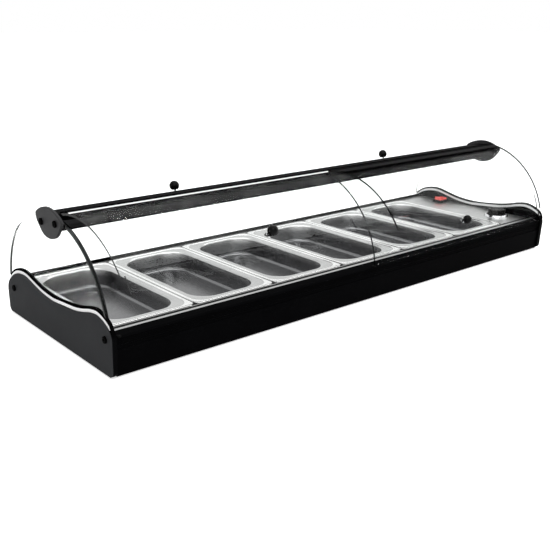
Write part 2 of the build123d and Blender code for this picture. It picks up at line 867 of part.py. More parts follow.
def make_nodes():
    nodes = {
        "base_tray": base_tray(),
        "front_fascia": front_fascia(),
        "rear_fascia": rear_fascia(),
        "steel_deck": steel_deck(),
        "water_well": water_well(),
        "pan_bars": pan_bars(),
        "rubber_feet": rubber_feet(),
        "beam": beam(),
        "bracket_screws": bracket_screws(),
        "end_panel_screws": end_panel_screws(),
        "screen_buffers": screen_buffers(),
        "thermostat_body": thermostat_body(),
        "thermostat_spindle": thermostat_spindle(),
        "thermostat_knob": thermostat_knob(),
        "knob_bezel": knob_bezel(),
        "rocker_body": rocker_body(),
        "rocker_key": rocker_key(),
        "terminal_block": terminal_block(),
        "cable_gland": cable_gland(),
        "heating_element": heating_element(),
        "element_clips": element_clips(),
        "sensing_bulb": sensing_bulb(),
    }
    pan = food_pan()
    for number, x in enumerate(pan_xs(), 1):
        nodes[f"pan_{number}"] = Pos(x, 0, 0) * pan
    pairs = {
        "end_panel": end_panel(),
        "end_trim": end_trim(),
        "glass_seal": glass_seal(),
        "side_screen": side_screen(),
        "beam_bracket": beam_bracket(),
    }
    front_knob_place = (front_centre, front_radius, front_knob_angle, front_knob_x)
    rear_knob_place = (rear_centre, rear_radius, rear_knob_angle, rear_knob_x)
    front = {
        "front_screen": front_pane(),
        "front_hinge": front_strip(),
        "front_knob": onto_sheet(ball_knob(), *front_knob_place),
        "front_knob_screw": onto_sheet(knob_screw(), *front_knob_place),
    }
    pairs |= {
        "rear_screen": rear_pane(),
        "rear_hinge": rear_strip(),
        "rear_knob": onto_sheet(ball_knob(), *rear_knob_place),
        "rear_knob_screw": onto_sheet(knob_screw(), *rear_knob_place),
    }
    for name, right in pairs.items():
        nodes[f"{name}_right"] = right
        nodes[f"{name}_left"] = mirrored(right)
    for name, right in front.items():
        nodes[f"{name}_right"] = right
        nodes[f"{name}_left"] = raise_front(mirrored(right))
    return nodes


def main():
    os.makedirs("parts", exist_ok=True)
    for name, shape in make_nodes().items():
        solids = shape if isinstance(shape, list) else [shape]
        solids = [solid for part in solids for solid in part.solids()]
        whole = solids[0] if len(solids) == 1 else Compound(children=solids)
        export_step(whole, f"parts/{name}.step")
        print(name, len(solids))


main()
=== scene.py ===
from math import radians

import bpy
import numpy as np
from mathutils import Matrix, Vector


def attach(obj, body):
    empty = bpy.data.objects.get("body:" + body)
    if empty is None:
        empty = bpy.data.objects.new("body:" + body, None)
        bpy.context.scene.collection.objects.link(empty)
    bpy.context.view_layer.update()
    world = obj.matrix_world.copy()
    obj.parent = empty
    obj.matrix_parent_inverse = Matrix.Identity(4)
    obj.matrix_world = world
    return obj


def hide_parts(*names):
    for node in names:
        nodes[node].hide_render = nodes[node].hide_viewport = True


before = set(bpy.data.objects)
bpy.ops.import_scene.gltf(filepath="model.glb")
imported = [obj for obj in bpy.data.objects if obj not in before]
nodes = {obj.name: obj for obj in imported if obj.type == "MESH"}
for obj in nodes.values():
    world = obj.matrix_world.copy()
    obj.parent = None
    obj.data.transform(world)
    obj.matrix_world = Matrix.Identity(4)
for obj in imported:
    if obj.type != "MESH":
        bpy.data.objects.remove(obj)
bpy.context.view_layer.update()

# camera, solved from the straight edges of the photo
camera = {"place": (-1.1202, -1.2372, 0.5442), "turn": (72.0, 0.0, -39.72), "lens": 51.57}


def makeCamera(c):
    data = bpy.data.cameras.new("photoCamera")
    data.lens = c["lens"]
    data.sensor_width = 36.0
    data.sensor_fit = "HORIZONTAL"
    data.clip_start = 0.02
    data.clip_end = 60.0
    cam = bpy.data.objects.new("photoCamera", data)
    cam.location = c["place"]
    cam.rotation_euler = [radians(a) for a in c["turn"]]
    bpy.context.scene.collection.objects.link(cam)
    bpy.context.scene.camera = cam


makeCamera(camera)
print("camera placed")

# plain studio: pale floor, soft lamps, white surroundings
studio = {
    "floorColour": (0.86, 0.86, 0.86, 1.0),
    "floorLift": 0.62,
    "worldLight": 0.55,
    "lamps": [
        # name, place, size, power
        ("keySoftbox", (-0.9, -1.5, 1.9), 1.6, 26.0),
        ("topSoftbox", (0.3, 0.2, 1.9), 2.2, 26.0),
        ("rightSoftbox", (1.9, -0.7, 1.2), 1.4, 12.0),
    ],
}


def newMaterial(name):
    mat = bpy.data.materials.new(name)
    mat.use_nodes = True
    return mat, mat.node_tree.nodes, mat.node_tree.links


def makeStudio(s):
    world = bpy.data.worlds.new("studioWorld")
    bpy.context.scene.world = world
    world.use_nodes = True
    tree = world.node_tree
    background = tree.nodes["Background"]
    background.inputs["Color"].default_value = (1, 1, 1, 1)
    seen = seenDirectly(tree)
    strength = tree.nodes.new("ShaderNodeMix")
    strength.inputs["A"].default_value = s["worldLight"]
    strength.inputs["B"].default_value = 1.0
    tree.links.new(seen, strength.inputs["Factor"])
    tree.links.new(strength.outputs["Result"], background.inputs["Strength"])

    size = 30.0
    mesh = bpy.data.meshes.new("floor")
    mesh.from_pydata([(-size, -size, 0), (size, -size, 0), (size, size, 0), (-size, size, 0)], [], [(0, 1, 2, 3)])
    floor = bpy.data.objects.new("floor", mesh)
    bpy.context.scene.collection.objects.link(floor)
    mat, n, links = newMaterial("paleFloor")
    shader = n["Principled BSDF"]
    shader.inputs["Base Color"].default_value = s["floorColour"]
    shader.inputs["Roughness"].default_value = 0.9
    shader.inputs["Specular IOR Level"].default_value = 0.1
    shader.inputs["Emission Color"].default_value = (1, 1, 1, 1)
    lift = n.new("ShaderNodeMath")
    lift.operation = "MULTIPLY"
    lift.inputs[1].default_value = s["floorLift"]
    links.new(seenDirectly(mat.node_tree), lift.inputs[0])
    links.new(lift.outputs[0], shader.inputs["Emission Strength"])
    mesh.materials.append(mat)

    for name, place, width, power in s["lamps"]:
        data = bpy.data.lights.new(name, "AREA")
        data.shape = "SQUARE"
        data.size = width
        data.energy = power
        lamp = bpy.data.objects.new(name, data)
        lamp.location = place
        lamp.rotation_euler = Vector(place).to_track_quat("Z", "Y").to_euler()
        bpy.context.scene.collection.objects.link(lamp)


# 1 for a camera, glossy or transmission ray
def seenDirectly(tree):
    path = tree.nodes.new("ShaderNodeLightPath")
    value = path.outputs["Is Camera Ray"]
    for kind in ("Is Glossy Ray", "Is Transmission Ray"):
        most = tree.nodes.new("ShaderNodeMath")
        most.operation = "MAXIMUM"
        tree.links.new(value, most.inputs[0])
        tree.links.new(path.outputs[kind], most.inputs[1])
        value = most.outputs[0]
    return value


makeStudio(studio)
view = bpy.context.scene.view_settings
view.view_transform = "Standard"
print("studio ready")


# Shader effects that several finishes share. Each group gives only masks, values and heights.
def newGroup(name, inputs, outputs):
    group = bpy.data.node_groups.new(name, "ShaderNodeTree")
    for label, start in inputs:
        socket = group.interface.new_socket(label, in_out="INPUT", socket_type="NodeSocketFloat")
        socket.default_value = start
    for label in outputs:
        group.interface.new_socket(label, in_out="OUTPUT", socket_type="NodeSocketFloat")
    return group, group.nodes.new("NodeGroupInput"), group.nodes.new("NodeGroupOutput")


def mathNode(tree, operation, a, b=None):
    node = tree.nodes.new("ShaderNodeMath")
    node.operation = operation
    for socket, value in zip(node.inputs, (a, b)):
        if value is None:
            continue
        if isinstance(value, (int, float)):
            socket.default_value = value
        else:
            tree.links.new(value, socket)
    return node.outputs[0]


def noiseNode(tree, scale, detail, stretch=(1, 1, 1), turn=(0, 0, 0)):
    place = tree.nodes.new("ShaderNodeTexCoord")
    mapping = tree.nodes.new("ShaderNodeMapping")
    mapping.inputs["Scale"].default_value = stretch
    mapping.inputs["Rotation"].default_value = [radians(a) for a in turn]
    noise = tree.nodes.new("ShaderNodeTexNoise")
    noise.inputs["Detail"].default_value = detail
    if isinstance(scale, (int, float)):
        noise.inputs["Scale"].default_value = scale
    else:
        tree.links.new(scale, noise.inputs["Scale"])
    tree.links.new(place.outputs["Object"], mapping.inputs["Vector"])
    tree.links.new(mapping.outputs["Vector"], noise.inputs["Vector"])
    return noise.outputs["Fac"]


# Fine pebble of a moulding: two sizes of noise, added.
def makeGrainGroup():
    group, start, end = newGroup("mouldGrain", [("Scale", 900.0), ("Amount", 1.0)], ["Height", "Tone"])
    fine = noiseNode(group, start.outputs["Scale"], 3.0)
    broad = noiseNode(group, 14.0, 4.0)
    height = mathNode(group, "MULTIPLY", fine, start.outputs["Amount"])
    group.links.new(height, end.inputs["Height"])
    group.links.new(broad, end.inputs["Tone"])
    return group


# Brushing: noise stretched along X, in a wide and a hair-fine width, plus soft cloudiness.
def makeBrushGroup(name, stretchWide, stretchFine):
    group, start, end = newGroup(name, [("Contrast", 1.0)], ["Streak", "Cloud"])
    wide = noiseNode(group, 1.0, 2.0, stretchWide)
    fine = noiseNode(group, 1.0, 2.0, stretchFine)
    both = mathNode(group, "ADD", mathNode(group, "MULTIPLY", wide, 0.45), mathNode(group, "MULTIPLY", fine, 0.55))
    spread = mathNode(group, "MULTIPLY", mathNode(group, "SUBTRACT", both, 0.5), start.outputs["Contrast"])
    group.links.new(mathNode(group, "ADD", spread, 0.5), end.inputs["Streak"])
    group.links.new(noiseNode(group, 9.0, 3.0), end.inputs["Cloud"])
    return group


# Wiped dust and finger marks: soft blotches.
def makeSmudgeGroup():
    group, start, end = newGroup("smudge", [("Scale", 12.0), ("Coverage", 0.5)], ["Mask"])
    blotch = noiseNode(group, start.outputs["Scale"], 5.0, (1, 1.6, 1), (0, 0, 30))
    low = mathNode(group, "SUBTRACT", blotch, mathNode(group, "SUBTRACT", 1.0, start.outputs["Coverage"]))
    mask = mathNode(group, "MULTIPLY", low, 3.0)
    clean = mathNode(group, "MINIMUM", mathNode(group, "MAXIMUM", mask, 0.0), 1.0)
    group.links.new(clean, end.inputs["Mask"])
    return group


grainGroup = makeGrainGroup()
brushGroup = makeBrushGroup("brushedAlongX", (3, 700, 700), (9, 3200, 3200))
turnedGroup = makeBrushGroup("brushedAlongY", (700, 3, 700), (3200, 9, 3200))
smudgeGroup = makeSmudgeGroup()


def useGroup(tree, group, **values):
    node = tree.nodes.new("ShaderNodeGroup")
    node.node_tree = group
    for label, value in values.items():
        node.inputs[label].default_value = value
    return node


# value runs from low to high as the mask runs from 0 to 1
def spreadValue(tree, mask, low, high):
    node = tree.nodes.new("ShaderNodeMapRange")
    node.inputs["To Min"].default_value = low
    node.inputs["To Max"].default_value = high
    tree.links.new(mask, node.inputs["Value"])
    return node.outputs["Result"]


def blendColour(tree, mask, first, second):
    node = tree.nodes.new("ShaderNodeMix")
    node.data_type = "RGBA"
    node.inputs["A"].default_value = (*first, 1.0)
    node.inputs["B"].default_value = (*second, 1.0)
    tree.links.new(mask, node.inputs["Factor"])
    return node.outputs["Result"]


def addBump(tree, height, strength, distance):
    bump = tree.nodes.new("ShaderNodeBump")
    bump.inputs["Strength"].default_value = strength
    bump.inputs["Distance"].default_value = distance
    tree.links.new(height, bump.inputs["Height"])
    tree.links.new(bump.outputs["Normal"], tree.nodes["Principled BSDF"].inputs["Normal"])


# Mouldings and rubber: a grain, a slow change of tone and wiped marks in the gloss.
mouldings = {
    # name: colour, lighter colour, roughness low, high, grain scale, grain strength, specular level
    "glossFascia": ((0.001, 0.001, 0.0012), (0.0022, 0.0022, 0.0025), 0.3, 0.4, 700, 0.04, 0.003),
    "sealRubber": ((0.001, 0.001, 0.001), (0.003, 0.003, 0.003), 0.5, 0.62, 1500, 0.2, 0.0),
    "bracketMoulding": ((0.03, 0.03, 0.031), (0.038, 0.038, 0.04), 0.4, 0.5, 1200, 0.15, 0.04),
    "ballGloss": ((0.002, 0.002, 0.002), (0.004, 0.004, 0.004), 0.16, 0.24, 500, 0.02, 0.06),
    "switchMoulding": ((0.003, 0.003, 0.003), (0.006, 0.006, 0.006), 0.28, 0.4, 1300, 0.1, 0.05),
    "footRubber": ((0.003, 0.003, 0.003), (0.006, 0.006, 0.006), 0.6, 0.75, 900, 0.25, 0.01),
    "blackAnodised": ((0.0012, 0.0012, 0.0014), (0.003, 0.003, 0.0034), 0.36, 0.48, 1800, 0.1, 0.01),
    # painted shade: a copy of black anodised with almost no reflection, so the raised hinge strip reads dark
    "shadedRaisedStrip": ((0.0012, 0.0012, 0.0014), (0.003, 0.003, 0.0034), 0.36, 0.48, 1800, 0.1, 0.0008),
    "blackScrew": ((0.0012, 0.0012, 0.0012), (0.002, 0.002, 0.002), 0.4, 0.5, 900, 0.05, 0.002),
    "glandNylon": ((0.012, 0.012, 0.013), (0.02, 0.02, 0.022), 0.38, 0.5, 900, 0.12, 0.3),
    "terminalNylon": ((0.62, 0.6, 0.52), (0.7, 0.68, 0.6), 0.4, 0.5, 900, 0.1, 0.5),
}


def makeMoulding(name, colour, lighter, roughLow, roughHigh, grainScale, grain, specular):
    mat, n, links = newMaterial(name)
    shader = n["Principled BSDF"]
    grainNode = useGroup(mat.node_tree, grainGroup, Scale=float(grainScale))
    smudge = useGroup(mat.node_tree, smudgeGroup, Scale=16.0, Coverage=0.5)
    links.new(blendColour(mat.node_tree, grainNode.outputs["Tone"], colour, lighter), shader.inputs["Base Color"])
    links.new(spreadValue(mat.node_tree, smudge.outputs["Mask"], roughLow, roughHigh), shader.inputs["Roughness"])
    shader.inputs["Specular IOR Level"].default_value = specular
    addBump(mat.node_tree, grainNode.outputs["Height"], grain, 0.0004)
    return mat


# one axis of the Object coordinates, or of the object's own normal
def axisValue(tree, output, axis):
    place = tree.nodes.new("ShaderNodeTexCoord")
    split = tree.nodes.new("ShaderNodeSeparateXYZ")
    tree.links.new(place.outputs[output], split.inputs[0])
    return split.outputs[axis]


# 0 below low, 1 above high, smooth between
def stepMask(tree, value, low, high):
    node = tree.nodes.new("ShaderNodeMapRange")
    node.interpolation_type = "SMOOTHSTEP"
    node.inputs["From Min"].default_value = low
    node.inputs["From Max"].default_value = high
    tree.links.new(value, node.inputs["Value"])
    return node.outputs["Result"]


# The end panels have a grained charcoal outer face; their edges and inside faces are smooth and painted near black as
# shade.
endPanel = {
    "face": (0.034, 0.035, 0.037),
    # inside: painted shade, near black, for the panel's edges and inside faces
    "inside": (0.0012, 0.0012, 0.0014),
    "faceStart": 0.5925,
    "roughFace": 0.5,
    "roughInside": 0.4,
    "grain": 1100.0,
    "specular": 0.01,
}


def makeEndPanelMaterial(e):
    mat, n, links = newMaterial("charcoalMoulding")
    tree, shader = mat.node_tree, n["Principled BSDF"]
    side = mathNode(tree, "ABSOLUTE", axisValue(tree, "Object", "X"))
    face = stepMask(tree, side, e["faceStart"] - 0.0004, e["faceStart"] + 0.0004)
    grainNode = useGroup(tree, grainGroup, Scale=e["grain"])
    tone = mathNode(tree, "MULTIPLY", face, spreadValue(tree, grainNode.outputs["Tone"], 0.75, 1.1))
    # edges and inside faces take the painted shade colour, the outer face its grained charcoal
    links.new(blendColour(tree, tone, e["inside"], e["face"]), shader.inputs["Base Color"])
    links.new(spreadValue(tree, face, e["roughInside"], e["roughFace"]), shader.inputs["Roughness"])
    shader.inputs["Specular IOR Level"].default_value = e["specular"]
    addBump(tree, mathNode(tree, "MULTIPLY", grainNode.outputs["Height"], face), 0.16, 0.0004)
    return mat


# The beam is black anodised, with a greyer brushed front face below its groove, painted darker towards its bottom as
# shade.
beamFinish = {
    "top": (0.0012, 0.0012, 0.0014),
    "face": (0.034, 0.034, 0.0355),
    # painted shade: the front face darkens towards its bottom, down to this share of its tone
    "faceShadeFade": (0.2165, 0.2340),
    "shadeLowShare": 0.3,
    "faceY": (-0.0496, -0.0506),
    "faceTop": (0.2318, 0.2306),
    "rough": (0.38, 0.5),
    "specular": 0.003,
}


def makeBeamMaterial(b):
    mat, n, links = newMaterial("beamAnodised")
    tree, shader = mat.node_tree, n["Principled BSDF"]
    forward = stepMask(tree, axisValue(tree, "Object", "Y"), b["faceY"][1], b["faceY"][0])
    forward = mathNode(tree, "SUBTRACT", 1.0, forward)
    under = stepMask(tree, axisValue(tree, "Object", "Z"), b["faceTop"][1], b["faceTop"][0])
    under = mathNode(tree, "SUBTRACT", 1.0, under)
    brush = useGroup(tree, brushGroup, Contrast=1.4)
    face = mathNode(tree, "MULTIPLY", mathNode(tree, "MULTIPLY", forward, under), brush.outputs["Streak"])
    # painted shade on the front face, darker towards its bottom
    shadeFade = spreadValue(tree, stepMask(tree, axisValue(tree, "Object", "Z"), *b["faceShadeFade"]), b["shadeLowShare"], 1.0)
    tone = mathNode(tree, "MULTIPLY", mathNode(tree, "MULTIPLY", face, 2.0), shadeFade)
    links.new(blendColour(tree, tone, b["top"], b["face"]), shader.inputs["Base Color"])
    links.new(spreadValue(tree, brush.outputs["Streak"], *b["rough"]), shader.inputs["Roughness"])
    shader.inputs["Specular IOR Level"].default_value = b["specular"]
    addBump(tree, brush.outputs["Streak"], 0.08, 0.0003)
    return mat


# Metals: streaks of brushing or turning and wiped marks.
metals = {
    # name: colour, darker colour, roughness low, high, brushing, contrast, bump, metal share
    "brushedSteel": ((0.7, 0.7, 0.69), (0.56, 0.56, 0.56), 0.24, 0.4, "x", 1.6, 0.12),
    "brightPlate": ((0.9, 0.9, 0.91), (0.8, 0.8, 0.82), 0.05, 0.14, "x", 0.8, 0.0),
    "satinPlate": ((0.97, 0.97, 0.97), (0.92, 0.92, 0.92), 0.5, 0.62, "x", 0.6, 0.0, 0.15),
    "turnedSteel": ((0.6, 0.6, 0.6), (0.45, 0.45, 0.45), 0.22, 0.34, "y", 1.2, 0.06),
    "trayZinc": ((0.5, 0.51, 0.52), (0.4, 0.41, 0.42), 0.4, 0.55, "x", 1.0, 0.08),
    "elementSheath": ((0.22, 0.2, 0.19), (0.13, 0.12, 0.12), 0.4, 0.55, "x", 1.4, 0.05),
    "copperBulb": ((0.72, 0.38, 0.25), (0.55, 0.26, 0.16), 0.26, 0.4, "x", 1.2, 0.04),
}


def makeMetal(name, colour, darker, roughLow, roughHigh, brushing, contrast, bump, metal=1.0):
    mat, n, links = newMaterial(name)
    shader = n["Principled BSDF"]
    shader.inputs["Metallic"].default_value = metal
    group = brushGroup if brushing == "x" else turnedGroup
    brush = useGroup(mat.node_tree, group, Contrast=contrast)
    smudge = useGroup(mat.node_tree, smudgeGroup, Scale=10.0, Coverage=0.48)
    links.new(blendColour(mat.node_tree, brush.outputs["Streak"], darker, colour), shader.inputs["Base Color"])
    mixed = mathNode(mat.node_tree, "ADD", brush.outputs["Streak"], smudge.outputs["Mask"])
    half = mathNode(mat.node_tree, "MULTIPLY", mixed, 0.5)
    links.new(spreadValue(mat.node_tree, half, roughLow, roughHigh), shader.inputs["Roughness"])
    if bump:
        addBump(mat.node_tree, brush.outputs["Streak"], bump, 0.0003)
    return mat


# The deck is brushed along its length; under the row of pans and in the gap before the front lip it is painted near
# black as shade, with no metal.
deckSteel = {
    "bright": (0.66, 0.66, 0.655),
    "dark": (0.53, 0.53, 0.53),
    # painted shade under the row of pans and in the gap before the lip
    "paintedShade": (0.012, 0.012, 0.012),
    "shadeSpecular": 0.01,
    "panRow": ((-0.584, 0.4835), (-0.1635, 0.1605)),
    "lipGap": ((-0.584, 0.584), (-0.1782, -0.1655)),
    "rough": (0.26, 0.42),
}


def makeDeckMaterial(d):
    mat, n, links = newMaterial("deckSteel")
    tree, shader = mat.node_tree, n["Principled BSDF"]
    shader.inputs["Specular IOR Level"].default_value = d["shadeSpecular"]
    brush = useGroup(tree, brushGroup, Contrast=1.6)
    smudge = useGroup(tree, smudgeGroup, Scale=10.0, Coverage=0.48)
    steel = blendColour(tree, brush.outputs["Streak"], d["dark"], d["bright"])
    boxes = []
    for box in (d["panRow"], d["lipGap"]):
        inside = None
        for axis, (low, high) in zip("XY", box):
            for operation, limit in (("GREATER_THAN", low), ("LESS_THAN", high)):
                test = mathNode(tree, operation, axisValue(tree, "Object", axis), limit)
                inside = test if inside is None else mathNode(tree, "MULTIPLY", inside, test)
        boxes.append(inside)
    # painted shade mask: under the pans and in the lip gap the deck is dark and not metal
    under = mathNode(tree, "MAXIMUM", *boxes)
    links.new(mathNode(tree, "SUBTRACT", 1.0, under), shader.inputs["Metallic"])
    mix = tree.nodes.new("ShaderNodeMix")
    mix.data_type = "RGBA"
    links.new(steel, mix.inputs["A"])
    mix.inputs["B"].default_value = (*d["paintedShade"], 1.0)
    links.new(under, mix.inputs["Factor"])
    links.new(mix.outputs["Result"], shader.inputs["Base Color"])
    mixed = mathNode(tree, "MULTIPLY", mathNode(tree, "ADD", brush.outputs["Streak"], smudge.outputs["Mask"]), 0.5)
    links.new(spreadValue(tree, mixed, *d["rough"]), shader.inputs["Roughness"])
    addBump(tree, brush.outputs["Streak"], 0.1, 0.0003)
    return mat


# Clear screens: light passes as through thin sheet, so shadow rays go straight on.
# Cut edges, told apart from the faces by the object's normal, are painted: near black as painted shade on the side
# screens and front panes, pale as a painted highlight on the rear panes. Most of the sheet's reflection is taken out
# by mixing in plain transparency.
glass = {
    "tint": (0.975, 0.985, 0.982),
    # edge colours: painted shade on the side screens and front panes, painted highlight on the rear panes
    "sideEdgeShade": (0.0004, 0.0005, 0.0005),
    "paneEdgeShade": (0.002, 0.0024, 0.0024),
    "rearEdgeHighlight": (0.82, 0.86, 0.85),
    "ior": 1.16,
    "roughLow": 0.0,
    "roughHigh": 0.004,
    "plain": 0.97,
    "shadowTint": (0.985, 0.99, 0.988, 1.0),
    "sideCentre": (-0.0196, 0.0588),
    # beyond this distance from the front arc's centre, the left side screen's front is painted with the dark edge
    # colour as painted shade
    "shadedArris": (0.1694, 0.1704),
    # from this height up, the right side screen, edges too, is painted pale and clear as painted reflection
    "reflectionPaleFrom": (0.125, 0.175),
    "reflectionPaleShare": 0.93,
}


# distance from a line along X
def distanceYz(tree, centre):
    y = mathNode(tree, "SUBTRACT", axisValue(tree, "Object", "Y"), centre[0])
    z = mathNode(tree, "SUBTRACT", axisValue(tree, "Object", "Z"), centre[1])
    squares = mathNode(tree, "ADD", mathNode(tree, "MULTIPLY", y, y), mathNode(tree, "MULTIPLY", z, z))
    return mathNode(tree, "SQRT", squares)


def makeGlass(name, g, edge, isSide):
    mat, n, links = newMaterial(name)
    tree, shader = mat.node_tree, n["Principled BSDF"]
    facing = mathNode(tree, "ABSOLUTE", axisValue(tree, "Normal", "X"))
    sheet = stepMask(tree, facing if isSide else mathNode(tree, "SUBTRACT", 1.0, facing), 0.3, 0.7)
    plain = mathNode(tree, "MULTIPLY", sheet, g["plain"])
    if isSide:
        # painted shade: a band along the left side screen's front arc takes the dark edge colour all through
        inner = mathNode(tree, "SUBTRACT", 1.0, stepMask(tree, distanceYz(tree, g["sideCentre"]), *g["shadedArris"]))
        rear = mathNode(tree, "GREATER_THAN", axisValue(tree, "Object", "Y"), -0.03)
        right = mathNode(tree, "GREATER_THAN", axisValue(tree, "Object", "X"), 0.0)
        keep = mathNode(tree, "MAXIMUM", mathNode(tree, "MAXIMUM", inner, rear), right)
        sheet = mathNode(tree, "MULTIPLY", sheet, keep)
        plain = mathNode(tree, "MULTIPLY", plain, keep)
        # painted reflection: the right side screen's upper part is painted pale and clear
        high = stepMask(tree, axisValue(tree, "Object", "Z"), *g["reflectionPaleFrom"])
        pale = mathNode(tree, "MULTIPLY", mathNode(tree, "MULTIPLY", high, right), g["reflectionPaleShare"])
        sheet = mathNode(tree, "MAXIMUM", sheet, pale)
        plain = mathNode(tree, "MAXIMUM", plain, pale)
    # cut edges take the painted edge colour, the faces the clear tint
    links.new(blendColour(tree, sheet, edge, g["tint"]), shader.inputs["Base Color"])
    shader.inputs["Transmission Weight"].default_value = 1.0
    shader.inputs["IOR"].default_value = g["ior"]
    smudge = useGroup(tree, smudgeGroup, Scale=7.0, Coverage=0.42)
    links.new(spreadValue(tree, smudge.outputs["Mask"], g["roughLow"], g["roughHigh"]), shader.inputs["Roughness"])
    clear = n.new("ShaderNodeBsdfTransparent")
    clear.inputs["Color"].default_value = g["shadowTint"]
    path = n.new("ShaderNodeLightPath")
    most = mathNode(tree, "MAXIMUM", path.outputs["Is Shadow Ray"], path.outputs["Is Diffuse Ray"])
    mix = n.new("ShaderNodeMixShader")
    links.new(mathNode(tree, "MAXIMUM", most, plain), mix.inputs[0])
    links.new(shader.outputs[0], mix.inputs[1])
    links.new(clear.outputs[0], mix.inputs[2])
    links.new(mix.outputs[0], n["Material Output"].inputs["Surface"])
    return mat


# The dial: satin black with a white line in the pointer's groove.
dial = {
    "black": (0.005, 0.005, 0.005),
    "line": (0.8, 0.8, 0.78),
    "place": (0.542, -0.107),
    "lineReach": (0.011, 0.0176),
    "lineHalf": 0.0009,
    "lineZ": 0.0905,
    "specular": 0.03,
}


def makeDialMaterial(d):
    mat, n, links = newMaterial("dialSatin")
    tree, shader = mat.node_tree, n["Principled BSDF"]
    across = mathNode(tree, "SUBTRACT", axisValue(tree, "Object", "X"), d["place"][0])
    along = mathNode(tree, "SUBTRACT", axisValue(tree, "Object", "Y"), d["place"][1])
    inX = mathNode(tree, "LESS_THAN", mathNode(tree, "ABSOLUTE", across), d["lineHalf"])
    start = mathNode(tree, "GREATER_THAN", along, d["lineReach"][0])
    end = mathNode(tree, "LESS_THAN", along, d["lineReach"][1])
    low = mathNode(tree, "LESS_THAN", axisValue(tree, "Object", "Z"), d["lineZ"])
    top = mathNode(tree, "GREATER_THAN", axisValue(tree, "Object", "Z"), d["lineZ"] - 0.001)
    line = inX
    for part in (start, end, low, top):
        line = mathNode(tree, "MULTIPLY", line, part)
    links.new(blendColour(tree, line, d["black"], d["line"]), shader.inputs["Base Color"])
    grainNode = useGroup(tree, grainGroup, Scale=1300.0)
    links.new(spreadValue(tree, grainNode.outputs["Tone"], 0.28, 0.42), shader.inputs["Roughness"])
    shader.inputs["Specular IOR Level"].default_value = d["specular"]
    addBump(tree, grainNode.outputs["Height"], 0.12, 0.0004)
    return mat


# Pan steel: soft satin pressing, painted darker down in the pan as shade, with a painted highlight along the top of
# the rim's roll.
panSteel = {
    # bead: painted highlight along the top of the rim's roll
    "bead": (0.96, 0.96, 0.955),
    "beadHighlightHeight": (0.0753, 0.0757),
    "rim": (0.62, 0.62, 0.615),
    "rimDark": (0.5, 0.5, 0.5),
    # deep: painted shade down in the pan
    "deep": (0.2, 0.2, 0.205),
    "depthStart": 0.0735,
    "depthEnd": 0.058,
    "rough": (0.2, 0.34),
}


def makePanMaterial(p):
    mat, n, links = newMaterial("panSteel")
    tree, shader = mat.node_tree, n["Principled BSDF"]
    shader.inputs["Metallic"].default_value = 1.0
    brush = useGroup(tree, turnedGroup, Contrast=0.7)
    smudge = useGroup(tree, smudgeGroup, Scale=10.0, Coverage=0.48)
    steel = blendColour(tree, brush.outputs["Cloud"], p["rimDark"], p["rim"])
    # painted shade: the steel darkens down in the pan
    down = stepMask(tree, axisValue(tree, "Object", "Z"), p["depthEnd"], p["depthStart"])
    mix = tree.nodes.new("ShaderNodeMix")
    mix.data_type = "RGBA"
    mix.inputs["A"].default_value = (*p["deep"], 1.0)
    # painted highlight on the top of the rim's roll
    bead = tree.nodes.new("ShaderNodeMix")
    bead.data_type = "RGBA"
    links.new(steel, bead.inputs["A"])
    bead.inputs["B"].default_value = (*p["bead"], 1.0)
    links.new(stepMask(tree, axisValue(tree, "Object", "Z"), *p["beadHighlightHeight"]), bead.inputs["Factor"])
    links.new(bead.outputs["Result"], mix.inputs["B"])
    links.new(down, mix.inputs["Factor"])
    links.new(mix.outputs["Result"], shader.inputs["Base Color"])
    mixed = mathNode(tree, "MULTIPLY", mathNode(tree, "ADD", brush.outputs["Streak"], smudge.outputs["Mask"]), 0.5)
    links.new(spreadValue(tree, mixed, *p["rough"]), shader.inputs["Roughness"])
    return mat


# The lit rocker: translucent red, glowing, with a fine grain of deeper and brighter red.
rocker = {"deep": (0.35, 0.01, 0.01), "bright": (0.9, 0.12, 0.1), "glow": 0.55}


def makeRocker(r):
    mat, n, links = newMaterial("redRocker")
    shader = n["Principled BSDF"]
    grainNode = useGroup(mat.node_tree, grainGroup, Scale=260.0)
    colour = blendColour(mat.node_tree, grainNode.outputs["Height"], r["deep"], r["bright"])
    links.new(colour, shader.inputs["Base Color"])
    links.new(colour, shader.inputs["Emission Color"])
    shader.inputs["Emission Strength"].default_value = r["glow"]
    shader.inputs["Roughness"].default_value = 0.18
    shader.inputs["Coat Weight"].default_value = 0.4
    return mat


finishes = {name: makeMoulding(name, *values) for name, values in mouldings.items()}
finishes.update({name: makeMetal(name, *values) for name, values in metals.items()})
finishes["charcoalMoulding"] = makeEndPanelMaterial(endPanel)
finishes["beamAnodised"] = makeBeamMaterial(beamFinish)
finishes["deckSteel"] = makeDeckMaterial(deckSteel)
finishes["sideGlass"] = makeGlass("sideGlass", glass, glass["sideEdgeShade"], True)
finishes["paneGlass"] = makeGlass("paneGlass", glass, glass["paneEdgeShade"], False)
finishes["rearGlass"] = makeGlass("rearGlass", glass, glass["rearEdgeHighlight"], False)
finishes["dialSatin"] = makeDialMaterial(dial)
finishes["panSteel"] = makePanMaterial(panSteel)
finishes["redRocker"] = makeRocker(rocker)

